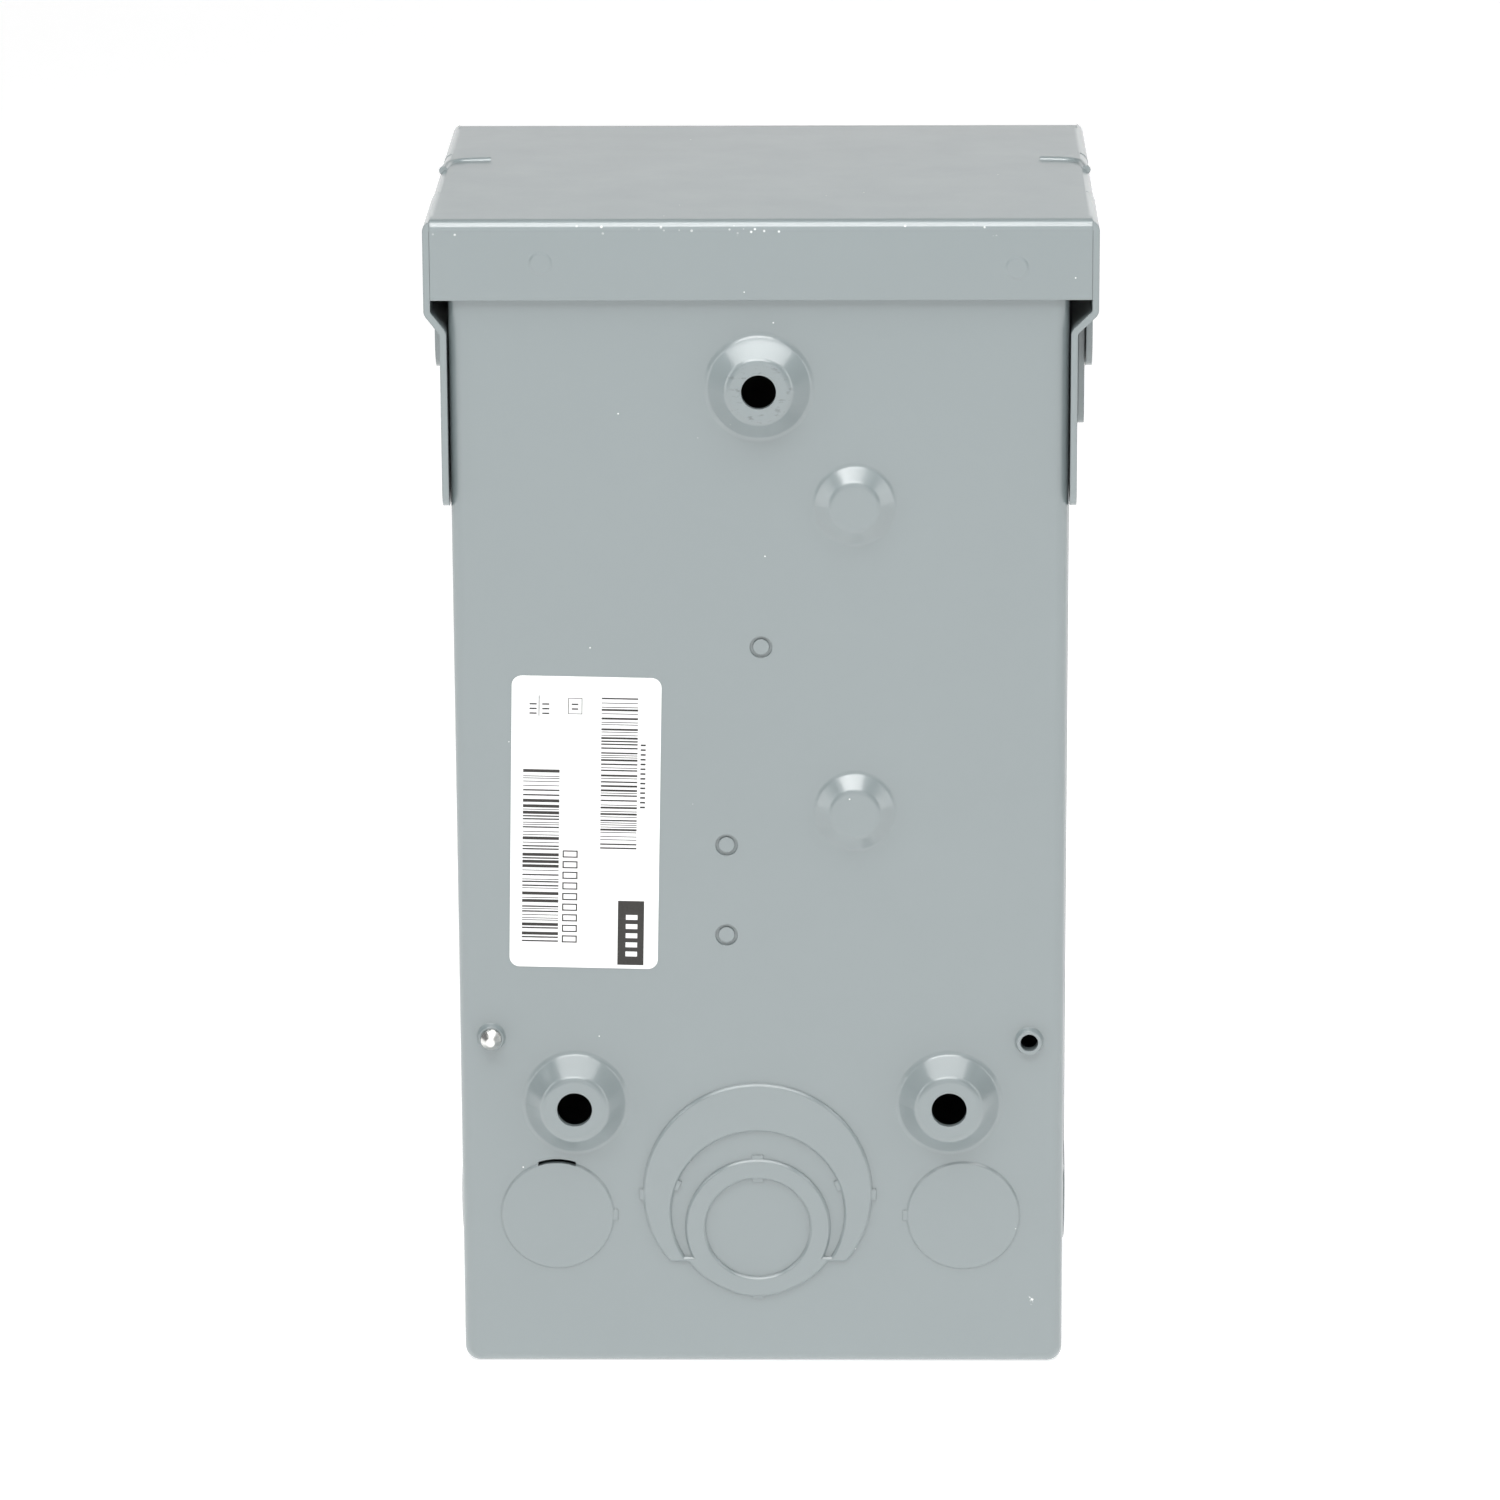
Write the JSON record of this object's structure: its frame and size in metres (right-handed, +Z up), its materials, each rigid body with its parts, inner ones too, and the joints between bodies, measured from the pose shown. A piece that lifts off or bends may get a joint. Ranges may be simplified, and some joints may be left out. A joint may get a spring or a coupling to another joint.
{
  "type": "residential load center",
  "caption": "Small rainproof wall-mounted electrical load center with a fixed hood, lift-up door, dead front and a two-pole ground-fault breaker.",
  "frame": {"origin": "middle of the upper mounting hole, in the plane of the wall that the rear bosses touch", "axes": "+Z up, +Y into the wall, so the door faces -Y and +X is to the right as seen from the front"},
  "size_m": [0.1328, 0.1166, 0.2355],
  "materials": {
    "grey_paint": "satin baked powder coat over steel",
    "label_film": "matt printed film with an adhesive back",
    "zinc_steel": "bright zinc plating",
    "galvanised": "plain galvanised sheet",
    "black_moulding": "moulded thermoset, fine matt texture",
    "grey_moulding": "moulded thermoset insulator",
    "tinned_bus": "tin-plated aluminium",
    "lug_aluminium": "extruded aluminium, sawn ends",
    "copper": "copper with silver contact faces",
    "white_lead": "smooth wire insulation",
    "button_yellow": "gloss moulded button",
    "board_green": "solder-masked circuit board",
    "ferrite": "taped toroid core",
    "ground_green": "green-dyed zinc plating"
  },
  "bodies": {
    "enclosure": {"box_shell": "grey_paint", "hood": "grey_paint", "hinge_pins": "zinc_steel", "padlock_hasp": "grey_paint", "rear_label": "label_film", "dead_front": "grey_paint", "dead_front_screws": "zinc_steel", "mounting_rail": "galvanised", "interior_base": "grey_moulding", "bus_bar_lower": "tinned_bus", "bus_bar_upper": "tinned_bus", "line_lugs": "lug_aluminium", "line_lug_screws": "zinc_steel", "neutral_insulator": "grey_moulding", "neutral_bar": "lug_aluminium", "neutral_screws": "zinc_steel", "neutral_pigtail": "white_lead", "ground_bar": "lug_aluminium", "ground_screws": "ground_green", "ground_mount_screw": "zinc_steel", "breaker_case_lower": "black_moulding", "breaker_case_upper": "black_moulding", "case_rivets": "zinc_steel", "handle_pin": "zinc_steel", "line_jaws": "copper", "arm_shaft": "zinc_steel", "load_lugs": "lug_aluminium", "load_screws": "zinc_steel", "circuit_board": "board_green", "sensor_ring": "ferrite"},
    "door": {"door": "grey_paint", "door_label": "label_film"},
    "breaker_toggle": {"breaker_handle": "black_moulding", "handle_tie": "zinc_steel"},
    "breaker_test_button": {"test_button": "button_yellow"},
    "breaker_contacts": {"contact_arms": "copper"}
  },
  "joints": [
    {"name": "door_hinge", "type": "hinge", "parent": "enclosure", "child": "door", "pos_m": [0, -0.0926, 0.0072], "axis": [-1, 0, 0], "range_deg": [0, 108]},
    {"name": "toggle_pivot", "type": "hinge", "parent": "enclosure", "child": "breaker_toggle", "pos_m": [0.008, -0.0716, -0.0548], "axis": [0, 0, -1], "range_deg": [0, 40]},
    {"name": "contact_pivot", "type": "hinge", "parent": "enclosure", "child": "breaker_contacts", "pos_m": [0.008, -0.0426, -0.0548], "axis": [0, 0, -1], "range_deg": [0, 12]},
    {"name": "test_button_slide", "type": "slide", "parent": "enclosure", "child": "breaker_test_button", "axis": [0, 1, 0], "range_m": [0, 0.0018], "stiffness_N_per_m": 400, "springref_m": -0.0005}
  ],
  "couplings": [
    {"joint": "contact_pivot", "follows": "toggle_pivot", "ratio": 0.3}
  ]
}
